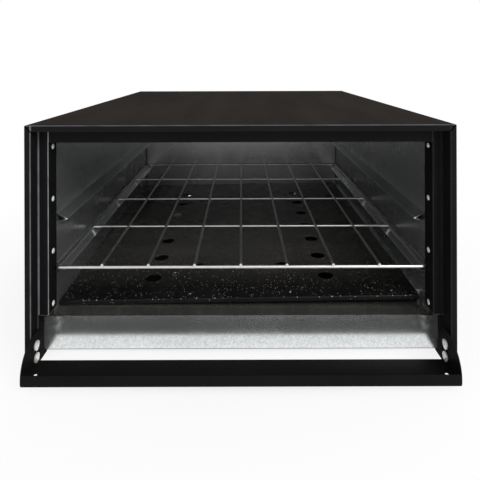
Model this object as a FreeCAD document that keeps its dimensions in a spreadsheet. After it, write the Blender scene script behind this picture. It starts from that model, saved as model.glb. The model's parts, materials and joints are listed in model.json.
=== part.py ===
import FreeCAD, Part
import os
import re

import Sketcher

# A low bench oven heated by gas, with its lower flap down. +X is to the right, +Y to the back and +Z up.
# Each piece is drawn with the front of the case at Y = 0 and the bench at Z = 0. Its placement then
# moves it forward, so that the oven, from the flap to the gas inlet, is centred on the origin.

# Driving sizes, in millimetres and degrees. "reach" is towards the front or the middle, "back" is the
# distance behind the front of the case, and "level" is the height above the bench.
SIZES = {
    # outer case, folded from one sheet
    "case_width": 600,
    "case_height": 345,
    "case_depth": 685,
    "case_sheet": 1.0,
    "case_bend": 1.6,
    "front_bend": 1.2,
    "front_flange": 9,
    "rebate_depth": 22,
    "lower_wall_back": 50,
    "rear_flange": 14,
    "base_flange": 24,
    "base_flange_back": 60,
    "mitre_width": 0.6,
    "mitre_depth": 0.4,
    # inner box
    "wall_space": 23,
    "roof_space": 27,
    "rear_space": 20,
    "liner_sheet": 0.8,
    "liner_front": 24,
    "liner_foot_back": 44,
    "wall_clearance": 0.3,
    # door frame behind the rebate
    "jamb_sheet": 1.0,
    "jamb_return": 27,
    "jamb_tab": 12,
    "jamb_foot": 69,
    # rivets
    "rivet_radius": 2.0,
    "rivet_head": 3.9,
    "rivet_dome": 1.5,
    "rivet_tail": 2.9,
    "rivet_tail_length": 1.4,
    "rivet_clearance": 0.05,
    "rivet_back": 37,
    "rivet_level": 78.5,
    "rivet_top_margin": 9.1,
    "rivet_count": 4,
    "tray_rivet_level": 20,
    "tray_rivet_back": 110,
    "tray_rivet_margin": 45,
    "tray_rivet_count": 4,
    # tray rails
    "rail_reach": 17,
    "rail_rise": 9,
    "rail_fall": 6,
    "rail_lower_edge": 1.0,
    "rail_upper_edge": 1.1,
    "rail_nose": 2.0,
    "rail_nose_rise": 0.1,
    "rail_back": 51,
    "rail_rear_gap": 4,
    "upper_rail_level": 197,
    "lower_rail_level": 123,
    # wire rack
    "rack_side_gap": 4,
    "rack_rear_gap": 3,
    "rack_reach": 36,
    "rack_frame_wire": 4.6,
    "rack_wire": 4.0,
    "rack_bend": 5.0,
    "rack_cross_count": 3,
    "rack_long_count": 7,
    "rack_weld": 0.5,
    "rack_tip": 3.0,
    "rack_clearance": 0.3,
    # floor plate
    "floor_front": 57,
    "floor_left_gap": 1.5,
    "floor_right_gap": 6.5,
    "floor_rear_gap": 1,
    "floor_level": 71,
    "floor_sheet": 1.5,
    "floor_lip": 6.5,
    "floor_bend": 2.0,
    "floor_tilt": 0.75,
    "floor_hole": 12.8,
    "floor_hole_count": 7,
    "floor_hole_pitch": 74.2,
    "floor_hole_back": 122,
    "floor_row_spread": 143.5,
    "lighting_spread": 74,
    "lighting_back": 161,
    # support angles of the floor plate
    "angle_leg": 12,
    "angle_sheet": 1.2,
    "floor_clearance": 0.3,
    # apron and its ledge
    "apron_back": 40,
    "apron_top": 57,
    "apron_foot": 8,
    "apron_sheet": 1.0,
    "apron_bend": 0.9,
    "apron_foot_flange": 15,
    "ledge_slope_depth": 18,
    "ledge_rise": 7,
    "ledge_depth": 35,
    # burner compartment tray
    "tray_flange": 20,
    "tray_rear_flange": 12,
    "slot_length": 34,
    "slot_width": 5,
    "slot_pitch": 56,
    "slot_count": 9,
    "tray_slot_back": 150,
    "tray_slot_rear_back": 480,
    "back_slot_level": 30,
    # lower flap
    "flap_reach": 38,
    "flap_back": 18,
    "flap_plate_back": 11,
    "flap_level": 6.2,
    "flap_tilt": 6,
    "flap_height": 49.8,
    "flap_sheet": 1.2,
    "flap_side_gap": 4.0,
    "flap_round": 37,
    "flap_corner": 8,
    "flap_corner_steps": 8,
    "flap_rear_corner": 5,
    "flap_lip": 19.4,
    "flap_drain_hole": 2.5,
    "flap_drain_inset": 8.7,
    "flap_drain_reach": 14,
    # flap screws: the pivot, and the stop that a notch in the cheek drops on to
    "pivot_back": 4,
    "pivot_level": 38,
    "pivot_radius": 2.6,
    "stop_drop": 17,
    "stop_radius": 2.5,
    "notch_clearance": 0.4,
    "pivot_clearance": 0.05,
    "screw_head": 6.4,
    "screw_head_height": 2.8,
    "screw_dome": 1.0,
    "washer_radius": 6.0,
    "screw_tip": 2,
    "face_gap": 0.3,
    # case back and its screws
    "back_margin": 2,
    "back_screw_radius": 1.9,
    "back_screw_head": 4.0,
    "back_screw_head_height": 2.2,
    "back_screw_length": 8,
    "back_screw_inset": 8,
    "back_screw_level": 45,
    "back_screw_count": 4,
    "back_screw_roof_margin": 80,
    "back_screw_roof_count": 3,
    "hole_clearance": 0.1,
    # insulation
    "insulation_gap": 0.3,
    "insulation_side_gap": 3.2,
    "insulation_front": 52,
    "insulation_rear_space": 12,
    "insulation_back_sheet": 12,
    # burners
    "burner_spread": 77.5,
    "burner_level": 36,
    "burner_radius": 14,
    "burner_wall": 1.5,
    "burner_front": 78,
    "burner_length": 430,
    "port_radius": 1.4,
    "port_pitch": 16,
    "port_count": 23,
    "port_start": 36,
    "port_spread": 5,
    "cap_wall": 2.0,
    "cap_length": 12,
    "bracket_sheet": 1.5,
    "bracket_foot": 16,
    "bracket_half": 108,
    "bracket_top": 56,
    "bracket_front_back": 115,
    "bracket_rear_back": 470,
    "slip_clearance": 0.05,
    # mixers and air shutters
    "mixer_spigot": 20,
    "mixer_neck": 26,
    "mixer_length": 60,
    "mixer_throat": 7.5,
    "mixer_bell": 20,
    "mixer_wall": 2.5,
    "boss_radius": 8,
    "boss_bore": 6.2,
    "boss_length": 3,
    "window_radius": 3.9,
    "window_ring": 12.7,
    "window_count": 3,
    "shutter_radius": 19,
    "shutter_sheet": 1.2,
    "shutter_clearance": 0.08,
    "shutter_tab": 26,
    "shutter_tab_half": 4,
    # injectors
    "injector_shank": 5.0,
    "injector_reach": 22,
    "injector_cone": 6,
    "injector_tip": 2.0,
    "injector_hex": 8,
    "injector_flats": 16,
    "injector_bore": 2.5,
    "injector_jet": 0.6,
    "injector_jet_length": 3,
    "injector_shoulder": 7,
    "injector_thread": 4.5,
    "injector_thread_length": 6,
    # manifold, supply pipe, cock and inlet
    "manifold_radius": 10,
    "manifold_wall": 2,
    "manifold_left": 100,
    "manifold_right": 190,
    "bracket_left_x": -55,
    "bracket_right_x": 130,
    "bracket_bar": 2,
    "bracket_bar_foot": 14,
    "bracket_margin": 3,
    "saddle_radius": 9,
    "saddle_reach": 12,
    "supply_x": 165,
    "supply_radius": 7,
    "supply_bore": 5,
    "supply_insert": 9,
    "supply_socket": 10,
    "cock_gap": 12,
    "cock_socket": 11,
    "cock_length": 40,
    "cock_waist": 14,
    "cock_neck": 7.5,
    "cock_neck_height": 20,
    "cock_neck_start": 6,
    "stem_radius": 4,
    "stem_depth": 12,
    "lever_length": 46,
    "lever_half": 5,
    "lever_sheet": 4,
    "lever_corner": 4.5,
    "lever_heel": 7,
    "nipple_spigot": 8,
    "nipple_flats": 26,
    "nipple_hex": 7,
    "nipple_thread": 10.48,
    "nipple_thread_length": 15,
    "nipple_bore": 5,
    # flue
    "duct_width": 170,
    "duct_height": 26,
    "duct_drop": 26,
    "duct_sheet": 0.8,
    "cowl_side": 12,
    "cowl_rise": 10,
    "cowl_depth": 22,
    "cowl_sheet": 1.0,
    "cowl_tab": 14,
    "cowl_screw_spread": 12,
    "cowl_screw_length": 5,
}

# Places worked out from the driving sizes.
PLACES = {
    "half_width": "case_width / 2",
    "wrap_length": "case_depth - case_sheet",
    "rebate_half": "half_width - front_flange",
    "rebate_top": "case_height - front_flange",
    "cavity_width": "case_width - 2 * wall_space",
    "cavity_half": "cavity_width / 2",
    "cavity_top": "case_height - roof_space",
    "cavity_back": "case_depth - rear_space",
    "jamb_half": "cavity_half - jamb_sheet",
    "jamb_top": "cavity_top - jamb_sheet",
    "jamb_back": "rebate_depth + jamb_return",
    "jamb_tab_half": "rebate_half + case_sheet",
    "liner_half": "cavity_half + liner_sheet",
    "liner_end": "wrap_length - case_sheet",
    "liner_foot": "apron_foot + apron_sheet",
    "tray_level": "liner_foot",
    "tray_top": "tray_level + liner_sheet",
    "tray_front": "apron_back + apron_sheet + wall_clearance",
    "tray_end": "liner_end - wall_clearance",
    "rivet_pitch": "(cavity_top - rivet_top_margin - rivet_level) / (rivet_count - 1)",
    "tray_rivet_pitch": "(cavity_back - tray_rivet_margin - tray_rivet_back) / (tray_rivet_count - 1)",
    "back_screw_pitch": "(case_height - 2 * back_screw_level) / (back_screw_count - 1)",
    "back_screw_roof_pitch": "(case_width - 2 * back_screw_roof_margin) / (back_screw_roof_count - 1)",
    "rail_length": "cavity_back - rail_back - rail_rear_gap",
    "rail_slope": "rail_rise / rail_reach",
    "rack_width": "cavity_width - 2 * rack_side_gap",
    "rack_half": "(rack_width - rack_frame_wire) / 2",
    "rack_rail_level": "lower_rail_level + rail_rise - (cavity_half - rack_half) * rail_slope",
    "rack_seat": "(rack_frame_wire / 2 + rack_clearance) * sqrt(1 + rail_slope * rail_slope)",
    "rack_level": "rack_rail_level + rack_seat",
    "rack_long_level": "rack_level + (rack_frame_wire + rack_wire) / 2 - rack_weld",
    "rack_long_pitch": "2 * rack_half / (rack_long_count + 1)",
    "rack_length": "cavity_back - rack_reach - rack_rear_gap",
    "rack_cross_pitch": "rack_length / (rack_cross_count + 1)",
    "rack_end": "rack_reach + rack_length",
    "floor_left": "floor_left_gap - cavity_half",
    "floor_width": "cavity_width - floor_left_gap - floor_right_gap",
    "floor_length": "cavity_back - floor_front - floor_rear_gap",
    "duct_level": "cavity_top - duct_drop",
    "flap_half": "rebate_half - flap_side_gap",
    "flap_top": "flap_level + flap_height",
    "flap_slope": "tan(flap_tilt)",
    "flap_rise": "(flap_reach + flap_plate_back) * flap_slope",
    "flap_bend_back": "flap_corner - flap_reach",
    "flap_bend_level": "flap_level + flap_corner * (flap_slope + 1 / cos(flap_tilt))",
    "apron_half": "rebate_half - wall_clearance",
    "stop_level": "pivot_level - stop_drop",
    "mixer_back": "burner_front + burner_length",
    "shutter_back": "mixer_back + mixer_length + face_gap",
    "injector_back": "mixer_back + mixer_length + boss_length + face_gap + injector_hex",
    "manifold_back": "injector_back + saddle_reach",
    "socket_end": "manifold_back + manifold_radius + supply_socket",
    "supply_front": "socket_end - supply_insert",
    "cock_front": "case_depth + cock_gap",
    "supply_end": "cock_front + supply_insert",
    "cock_middle": "cock_front + cock_length / 2",
    "cock_end": "cock_front + cock_length",
    "inlet_end": "cock_end + nipple_hex + nipple_thread_length",
    "front_y": "(flap_reach - inlet_end) / 2",
}

# Proportions of the small profiles: height and radius of a dome's corners as shares of the whole.
RIVET_DOME = [(1, 0), (1, 0.2), (0.9, 0.45), (0.62, 0.78), (0.2, 1)]
PAN_HEAD = [(1, 0), (1, 0.6), (0.45, 1)]
SCREW_FACE = 0.5
SCREW_POINT = 0.3

SIDES = {"left": -1, "right": 1}
PLANES = {"XY": "XY_Plane", "XZ": "XZ_Plane", "YZ": "YZ_Plane"}
TURNS = {
    "X": FreeCAD.Rotation(FreeCAD.Vector(0, 1, 0), 90),
    "Y": FreeCAD.Rotation(FreeCAD.Vector(1, 0, 0), -90),
    "Z": FreeCAD.Rotation(),
}

doc = FreeCAD.newDocument("bench_gas_oven")
pieces = []


def link(text):
    """Writes each named size in an expression as the cell that holds it."""

    def cell(match):
        name = match.group(0)
        if name in SIZES:
            return "Sizes." + name
        if name in PLACES:
            return "Places." + name
        return name

    return re.sub(r"[a-z][a-z_]*[a-z]", cell, str(text))


def fill_sheet(title, cells, as_text):
    sheet = doc.addObject("Spreadsheet::Sheet", title)
    for row, (name, value) in enumerate(cells.items(), 1):
        sheet.set(f"A{row}", name)
        sheet.set(f"B{row}", as_text(value))
        sheet.setAlias(f"B{row}", name)
    doc.recompute()
    return sheet


fill_sheet("Sizes", SIZES, str)
places = fill_sheet("Places", PLACES, lambda text: "=" + link(text))


def number(text):
    """The value of an expression now."""
    value = places.evalExpression(link(text))
    return float(getattr(value, "Value", value))


def bind(thing, prop, text):
    thing.setExpression(prop, link(text))


def finish_piece(node, thing, x="0", back="0", level="0"):
    """Names a sub-part and places it: its own frame lies at x, back and level."""
    thing.Label = node
    bind(thing, "Placement.Base.x", x)
    bind(thing, "Placement.Base.y", f"front_y + {back}")
    bind(thing, "Placement.Base.z", level)
    pieces.append(thing)
    return thing


# Sketches and features of a body


def origin_feature(body, role):
    return next(f for f in body.Origin.OriginFeatures if f.Role == role)


def draw(body, plane, start, outlines, circles=()):
    """A sketch on one of the body's planes, moved along it to start. Its corners are tied to the sheet."""
    sketch = body.newObject("Sketcher::SketchObject", "Outline")
    sketch.AttachmentSupport = [(origin_feature(body, PLANES[plane]), "")]
    sketch.MapMode = "FlatFace"
    away = "-1" if plane == "XZ" else "1"
    bind(sketch, "AttachmentOffset.Base.z", f"{away} * ({start})")
    ties = []

    def tie(kind, target, place, text):
        ties.append((Sketcher.Constraint(kind, *target, *place, number(text)), text))

    for corners in outlines:
        points = [FreeCAD.Vector(number(a), number(b), 0) for a, b in corners]
        first = sketch.GeometryCount
        ends = points[1:] + points[:1]
        sketch.addGeometry([Part.LineSegment(*pair) for pair in zip(points, ends)], False)
        for i, (a, b) in enumerate(corners):
            before = first + (i - 1) % len(corners)
            sketch.addConstraint(Sketcher.Constraint("Coincident", before, 2, first + i, 1))
            tie("DistanceX", (-1, 1), (first + i, 1), a)
            tie("DistanceY", (-1, 1), (first + i, 1), b)
    for a, b, radius in circles:
        centre = FreeCAD.Vector(number(a), number(b), 0)
        round_line = Part.Circle(centre, FreeCAD.Vector(0, 0, 1), number(radius))
        index = sketch.addGeometry(round_line, False)
        tie("DistanceX", (-1, 1), (index, 3), a)
        tie("DistanceY", (-1, 1), (index, 3), b)
        tie("Radius", (index,), (), radius)
    for constraint, text in ties:
        index = sketch.addConstraint(constraint)
        bind(sketch, f"Constraints[{index}]", text)
    return sketch


def grow(body, plane, start, length, outlines, circles=()):
    """Adds the outlines to the body as a pad from start, towards the plane's positive side."""
    pad = body.newObject("PartDesign::Pad", "Pad")
    pad.Profile = draw(body, plane, start, outlines, circles)
    pad.Reversed = plane == "XZ"
    bind(pad, "Length", length)
    body.Tip = pad
    return pad


def carve(body, plane, start, length, outlines=(), circles=()):
    """Cuts the outlines out of the body from start, towards the plane's positive side."""
    doc.recompute()
    before = body.Tip.Shape.Volume
    pocket = body.newObject("PartDesign::Pocket", "Pocket")
    pocket.Profile = draw(body, plane, start, outlines, circles)
    pocket.Reversed = plane != "XZ"
    bind(pocket, "Length", length)
    body.Tip = pocket
    doc.recompute()
    if not pocket.Shape.Volume < before:
        raise RuntimeError(f"a pocket of {body.Name} cuts nothing")
    return pocket


def turn(body, plane, start, axis, corners):
    """Adds the outline turned about a line of its own sketch, from one end of axis to the other."""
    sketch = draw(body, plane, start, [corners])
    ends = [FreeCAD.Vector(number(a), number(b), 0) for a, b in axis]
    index = sketch.addGeometry(Part.LineSegment(*ends), True)
    for end, (a, b) in zip((1, 2), axis):
        for kind, text in (("DistanceX", a), ("DistanceY", b)):
            tie = Sketcher.Constraint(kind, -1, 1, index, end, number(text))
            bind(sketch, f"Constraints[{sketch.addConstraint(tie)}]", text)
    revolution = body.newObject("PartDesign::Revolution", "Turned")
    revolution.Profile = sketch
    revolution.ReferenceAxis = (sketch, ["Axis0"])
    revolution.Angle = 360
    body.Tip = revolution
    return revolution


def repeat(body, feature, axis, count, pitch):
    """Repeats one feature of the body in a row along an axis."""
    doc.recompute()
    row = body.newObject("PartDesign::LinearPattern", "Row")
    row.Originals = [feature]
    row.Direction = (origin_feature(body, axis + "_Axis"), [""])
    bind(row, "Length", f"{pitch} * ({count} - 1)")
    bind(row, "Occurrences", count)
    body.Tip = row
    return row


def repeat_round(body, feature, axis, count):
    """Repeats one feature of the body evenly about an axis."""
    doc.recompute()
    ring = body.newObject("PartDesign::PolarPattern", "Ring")
    ring.Originals = [feature]
    ring.Axis = (origin_feature(body, axis + "_Axis"), [""])
    ring.Angle = 360
    bind(ring, "Occurrences", count)
    body.Tip = ring
    return ring


def round_edges(body, axis, spots, radius):
    """Rounds the body's straight edges along one axis that pass through the spots.

    A spot gives the other two coordinates of its edge, in the order X, Y, Z.
    """
    doc.recompute()
    base = body.Tip
    along = "XYZ".index(axis)
    across = [k for k in range(3) if k != along]
    wanted = [[number(text) for text in spot] for spot in spots]
    names = []
    for index, edge in enumerate(base.Shape.Edges, 1):
        box = edge.BoundBox
        low = (box.XMin, box.YMin, box.ZMin)
        high = (box.XMax, box.YMax, box.ZMax)
        straight = all(high[k] - low[k] < 0.01 for k in across)
        near = any(all(abs(low[k] - spot[i]) < 0.01 for i, k in enumerate(across)) for spot in wanted)
        if straight and near and high[along] - low[along] > 0.01:
            names.append(f"Edge{index}")
    if len(names) < len(spots):
        raise RuntimeError(f"{body.Name} has {len(names)} of {len(spots)} edges to round")
    fillet = body.newObject("PartDesign::Fillet", "Rounding")
    fillet.Base = (base, names)
    bind(fillet, "Radius", radius)
    body.Tip = fillet
    return fillet


def new_body(node):
    return doc.addObject("PartDesign::Body", node)


def slab(node, outline, level, thickness):
    """A flat piece of one thickness that lies level."""
    body = new_body(node)
    grow(body, "XY", level, thickness, [outline])
    return finish_piece(node, body)


# Outlines, as lists of corners


def rectangle(low_a, low_b, high_a, high_b):
    return [(low_a, low_b), (high_a, low_b), (high_a, high_b), (low_a, high_b)]


def arch(half, top, thickness, foot="0"):
    """An upside-down U: two legs and a bridge of one thickness."""
    inside = f"{half} - ({thickness})"
    under = f"{top} - ({thickness})"
    return [
        (f"-({half})", foot),
        (f"-({half})", top),
        (half, top),
        (half, foot),
        (inside, foot),
        (inside, under),
        (f"-({inside})", under),
        (f"-({inside})", foot),
    ]


def on_side(sign, corners):
    """The same corners on the left or the right of the oven."""
    return [(f"{sign} * ({a})", b) for a, b in corners]


def side_start(sign, inner, thickness):
    """Where a plate parallel to the side of the oven begins along X."""
    return inner if sign > 0 else f"-({inner} + {thickness})"


def hexagon(flats):
    """A hexagon round the origin, measured across its flats."""
    return [
        (f"{flats} / sqrt(3) * cos({60 * k})", f"{flats} / sqrt(3) * sin({60 * k})") for k in range(6)
    ]


# Primitives


def block(name, low, high):
    """A box between two corners."""
    box = doc.addObject("Part::Box", name)
    for side, low_text, high_text in zip(("Length", "Width", "Height"), low, high):
        bind(box, side, f"{high_text} - ({low_text})")
    for coordinate, text in zip("xyz", low):
        bind(box, "Placement.Base." + coordinate, text)
    return box


def rod(name, axis, start, radius, length):
    """A cylinder that runs from start along an axis."""
    cylinder = doc.addObject("Part::Cylinder", name)
    cylinder.Placement = FreeCAD.Placement(FreeCAD.Vector(), TURNS[axis])
    bind(cylinder, "Radius", radius)
    bind(cylinder, "Height", length)
    for coordinate, text in zip("xyz", start):
        bind(cylinder, "Placement.Base." + coordinate, text)
    return cylinder


def join(name, parts):
    fuse = doc.addObject("Part::MultiFuse", name)
    fuse.Shapes = parts
    return fuse


def cut(name, base, tool):
    difference = doc.addObject("Part::Cut", name)
    difference.Base = base
    difference.Tool = tool
    return difference


# Outer case


def case_wrap():
    """Roof and sides in one sheet. Behind the mitred front flange is a rebate wall, deeper at its foot."""
    body = new_body("case_wrap")
    grow(body, "XZ", "0", "wrap_length", [arch("half_width", "case_height", "case_sheet")])
    grow(body, "XZ", "0", "case_sheet", [arch("half_width", "case_height", "front_flange")])
    rebate = arch("rebate_half + case_sheet", "rebate_top + case_sheet", "case_sheet")
    grow(body, "XZ", "0", "rebate_depth", [rebate])
    for sign in SIDES.values():
        lower_wall = rectangle("rebate_half", "0", "rebate_half + case_sheet", "jamb_foot - wall_clearance")
        grow(body, "XZ", "0", "lower_wall_back", [on_side(sign, lower_wall)])
    rear = arch("half_width", "case_height", "rear_flange")
    grow(body, "XZ", "liner_end", "case_sheet", [rear], back_screw_holes())
    for sign in SIDES.values():
        foot = rectangle("half_width - base_flange", "0", "half_width", "case_sheet")
        length = "wrap_length - base_flange_back"
        grow(body, "XZ", "base_flange_back", length, [on_side(sign, foot)])
    for sign in SIDES.values():
        holes = [
            ("pivot_back", "pivot_level", "pivot_radius + hole_clearance"),
            ("pivot_back", "stop_level", "stop_radius + hole_clearance"),
        ]
        start = side_start(sign, "rebate_half - case_sheet", "3 * case_sheet")
        carve(body, "YZ", start, "3 * case_sheet", circles=holes)
    roof_edges = [("-half_width", "case_height"), ("half_width", "case_height")]
    round_edges(body, "Y", roof_edges, "case_bend")
    round_edges(body, "X", [("0", "case_height")], "front_bend")
    for sign in SIDES.values():
        mitre = [
            ("rebate_half - case_sheet", "rebate_top - case_sheet"),
            ("rebate_half - case_sheet + mitre_width", "rebate_top - case_sheet"),
            ("half_width", "case_height - mitre_width"),
            ("half_width", "case_height"),
            ("half_width - mitre_width", "case_height"),
            ("rebate_half - case_sheet", "rebate_top - case_sheet + mitre_width"),
        ]
        carve(body, "XZ", "0", "mitre_depth", [on_side(sign, mitre)])
    return finish_piece("case_wrap", body)


def back_screw_spots():
    """The first screw, the count, the pitch and the direction of each row of screws in the back panel."""
    column = "half_width - back_screw_inset"
    roof = "case_height - back_screw_inset"
    roof_start = "-back_screw_roof_pitch * (back_screw_roof_count - 1) / 2"
    return [
        (f"-({column})", "back_screw_level", "back_screw_count", "back_screw_pitch", "Z"),
        (column, "back_screw_level", "back_screw_count", "back_screw_pitch", "Z"),
        (roof_start, roof, "back_screw_roof_count", "back_screw_roof_pitch", "X"),
    ]


def back_screw_holes():
    holes = []
    for x, level, count, pitch, way in back_screw_spots():
        for k in range(int(number(count))):
            right = f"{k} * {pitch}" if way == "X" else "0"
            up = f"{k} * {pitch}" if way == "Z" else "0"
            holes.append((f"{x} + {right}", f"{level} + {up}", "back_screw_radius + hole_clearance"))
    return holes


def case_back():
    """The back panel, with air slots for the burners, the flue opening and the gas pipe's hole."""
    body = new_body("case_back")
    half = "half_width - back_margin"
    panel = rectangle(f"-({half})", "back_margin", half, "case_height - back_margin")
    duct_half = "duct_width / 2 - duct_sheet"
    duct_rise = "duct_height / 2 - duct_sheet"
    low = f"duct_level - ({duct_rise})"
    flue = rectangle(f"-({duct_half})", low, duct_half, f"duct_level + {duct_rise}")
    pipe = ("supply_x", "burner_level", "supply_radius + 1")
    holes = back_screw_holes() + cowl_screw_holes() + [pipe]
    grow(body, "XZ", "wrap_length", "case_sheet", [panel, flue], holes)
    left = "-slot_pitch * (slot_count - 1) / 2 - slot_length / 2 - slot_pitch / 2"
    slot = rectangle(left, "back_slot_level", f"{left} + slot_length", "back_slot_level + slot_width")
    row = carve(body, "XZ", "wrap_length", "case_sheet", [slot])
    repeat(body, row, "X", "slot_count - 3", "slot_pitch")
    return finish_piece("case_back", body)


def screw_row(body, x, level, seat, head, head_height, shank, length, row=None):
    """One pan-head screw driven forward through a panel whose back face is at seat, or a row of them."""
    axis = [(x, f"{seat} - ({length})"), (x, f"{seat} + {head_height}")]
    corners = [(f"{x} + {head} * {out}", f"{seat} + {head_height} * {up}") for up, out in PAN_HEAD]
    corners += [
        (f"{x} + {head}", seat),
        (f"{x} + {shank}", seat),
        (f"{x} + {shank}", f"{seat} - ({length}) + {shank}"),
        (f"{x} + {shank} * {SCREW_POINT}", f"{seat} - ({length})"),
        (x, f"{seat} - ({length})"),
    ]
    screw = turn(body, "XY", level, axis, corners)
    if row:
        count, pitch, way = row
        repeat(body, screw, way, count, pitch)


def back_screws():
    body = new_body("back_screws")
    for x, level, count, pitch, way in back_screw_spots():
        screw_row(
            body,
            x,
            level,
            "case_depth",
            "back_screw_head",
            "back_screw_head_height",
            "back_screw_radius",
            "back_screw_length",
            (count, pitch, way),
        )
    return finish_piece("back_screws", body)


# Door frame behind the rebate


def jamb(side, sign):
    """A Z-shaped strip: a tab outside the rebate wall, the face, and a return along the inner box."""
    body = new_body(f"jamb_{side}")
    strip = [
        ("jamb_tab_half", "rebate_depth - jamb_tab"),
        ("jamb_tab_half + jamb_sheet", "rebate_depth - jamb_tab"),
        ("jamb_tab_half + jamb_sheet", "rebate_depth + jamb_sheet"),
        ("cavity_half", "rebate_depth + jamb_sheet"),
        ("cavity_half", "jamb_back"),
        ("jamb_half", "jamb_back"),
        ("jamb_half", "rebate_depth"),
        ("jamb_tab_half", "rebate_depth"),
    ]
    grow(body, "XY", "jamb_foot", "jamb_top - jamb_foot", [on_side(sign, strip)])
    carve(
        body,
        "YZ",
        side_start(sign, "jamb_half", "jamb_sheet"),
        "jamb_sheet",
        circles=jamb_rivet_holes(),
    )
    return finish_piece(f"jamb_{side}", body)


def jamb_rivet_holes():
    return [
        ("rivet_back", f"rivet_level + {k} * rivet_pitch", "rivet_radius + rivet_clearance")
        for k in range(SIZES["rivet_count"])
    ]


def jamb_roof():
    """The same strip along the top of the opening."""
    body = new_body("jamb_top")
    tab = "rebate_top + case_sheet"
    strip = [
        ("rebate_depth - jamb_tab", tab),
        ("rebate_depth - jamb_tab", f"{tab} + jamb_sheet"),
        ("rebate_depth + jamb_sheet", f"{tab} + jamb_sheet"),
        ("rebate_depth + jamb_sheet", "cavity_top"),
        ("jamb_back", "cavity_top"),
        ("jamb_back", "jamb_top"),
        ("rebate_depth", "jamb_top"),
        ("rebate_depth", tab),
    ]
    half = "jamb_half"
    grow(body, "YZ", f"-({half})", f"2 * ({half})", [strip])
    face = rectangle("half_width - front_flange", "jamb_top", "jamb_half", f"{tab} + jamb_sheet")
    for sign in SIDES.values():
        grow(body, "XZ", "rebate_depth", "jamb_sheet", [on_side(sign, face)])
    return finish_piece("jamb_top", body)


def rivet_corners(head_face, through, sign, back):
    """Half the section of a domed rivet: its head lies against head_face and its tail beyond the sheets."""

    def spot(x, out):
        return (f"{sign} * ({x})", f"{back} + {out}")

    tail = f"{head_face} + {through}"
    dome = [spot(f"{head_face} - rivet_dome * {up}", f"rivet_head * {out}") for up, out in RIVET_DOME]
    return dome + [
        spot(head_face, "rivet_head"),
        spot(head_face, "rivet_radius"),
        spot(tail, "rivet_radius"),
        spot(tail, "rivet_tail"),
        spot(f"{tail} + rivet_tail_length", "rivet_tail"),
        spot(f"{tail} + rivet_tail_length", "0"),
    ]


def rivet_line(node, sign, head_face, through, back, level, way, count, pitch):
    """A row of equal rivets in one side of the oven."""
    body = new_body(node)
    axis = [
        (f"{sign} * ({head_face} - rivet_dome)", back),
        (f"{sign} * ({head_face} + {through} + rivet_tail_length)", back),
    ]
    rivet = turn(body, "XY", level, axis, rivet_corners(head_face, through, sign, back))
    repeat(body, rivet, way, count, pitch)
    return finish_piece(node, body)


# Inner box


def liner_side(side, sign):
    body = new_body(f"liner_{side}")
    sheet = [
        ("liner_front", "jamb_foot"),
        ("liner_front", "cavity_top"),
        ("liner_end", "cavity_top"),
        ("liner_end", "case_sheet"),
        ("base_flange_back", "case_sheet"),
        ("base_flange_back", "liner_foot"),
        ("liner_foot_back", "liner_foot"),
        ("liner_foot_back", "jamb_foot"),
    ]
    tray_rivets = [
        (
            f"tray_rivet_back + {k} * tray_rivet_pitch",
            "tray_rivet_level",
            "rivet_radius + rivet_clearance",
        )
        for k in range(SIZES["tray_rivet_count"])
    ]
    start = side_start(sign, "cavity_half", "liner_sheet")
    grow(body, "YZ", start, "liner_sheet", [sheet], jamb_rivet_holes() + tray_rivets)
    return finish_piece(f"liner_{side}", body)


def liner_roof():
    sheet = rectangle("-liner_half", "liner_front", "liner_half", "liner_end")
    return slab("liner_top", sheet, "cavity_top", "liner_sheet")


def liner_back():
    """The back wall of the inner box, with a shelf behind it that carries the insulation."""
    body = new_body("liner_back")
    foot = "jamb_foot - 7"
    sheet = [
        ("cavity_back", foot),
        ("cavity_back", "cavity_top"),
        ("cavity_back + liner_sheet", "cavity_top"),
        ("cavity_back + liner_sheet", f"{foot} + liner_sheet"),
        ("liner_end", f"{foot} + liner_sheet"),
        ("liner_end", foot),
    ]
    grow(body, "YZ", "-cavity_half", "cavity_width", [sheet])
    duct_half = "duct_width / 2 - duct_sheet"
    duct_rise = "duct_height / 2 - duct_sheet"
    low = f"duct_level - ({duct_rise})"
    flue = rectangle(f"-({duct_half})", low, duct_half, f"duct_level + {duct_rise}")
    carve(body, "XZ", "cavity_back", "liner_sheet", [flue])
    return finish_piece("liner_back", body)


def rail(tier, side, sign):
    """A V-shaped strip against the wall of the inner box, open at its ends."""
    level = f"{tier}_rail_level"
    section = [
        ("cavity_half", f"{level} + rail_rise"),
        ("cavity_half - rail_reach", level),
        ("cavity_half", f"{level} - rail_fall"),
        ("cavity_half", f"{level} - rail_fall + rail_lower_edge"),
        ("cavity_half - rail_reach + rail_nose", f"{level} + rail_nose_rise"),
        ("cavity_half", f"{level} + rail_rise - rail_upper_edge"),
    ]
    node = f"rail_{tier}_{side}"
    body = new_body(node)
    grow(body, "XZ", "rail_back", "rail_length", [on_side(sign, section)])
    return finish_piece(node, body)


def floor_angle(side, sign):
    """The angle under one edge of the floor plate, which rises to the right."""
    inner = "cavity_half - angle_leg"
    under = "floor_level - floor_sheet"
    if sign > 0:
        under += f" + ({inner} - floor_left) * sin(floor_tilt)"
    top = f"{under} - floor_clearance"
    section = [
        (inner, top),
        ("cavity_half", top),
        ("cavity_half", f"{top} - angle_leg"),
        ("cavity_half - angle_sheet", f"{top} - angle_leg"),
        ("cavity_half - angle_sheet", f"{top} - angle_sheet"),
        (inner, f"{top} - angle_sheet"),
    ]
    node = f"floor_angle_{side}"
    body = new_body(node)
    start = "apron_back + ledge_depth + 2 * floor_clearance"
    length = f"floor_front + floor_length - floor_sheet - ({start})"
    grow(body, "XZ", start, length, [on_side(sign, section)])
    return finish_piece(node, body)


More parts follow.
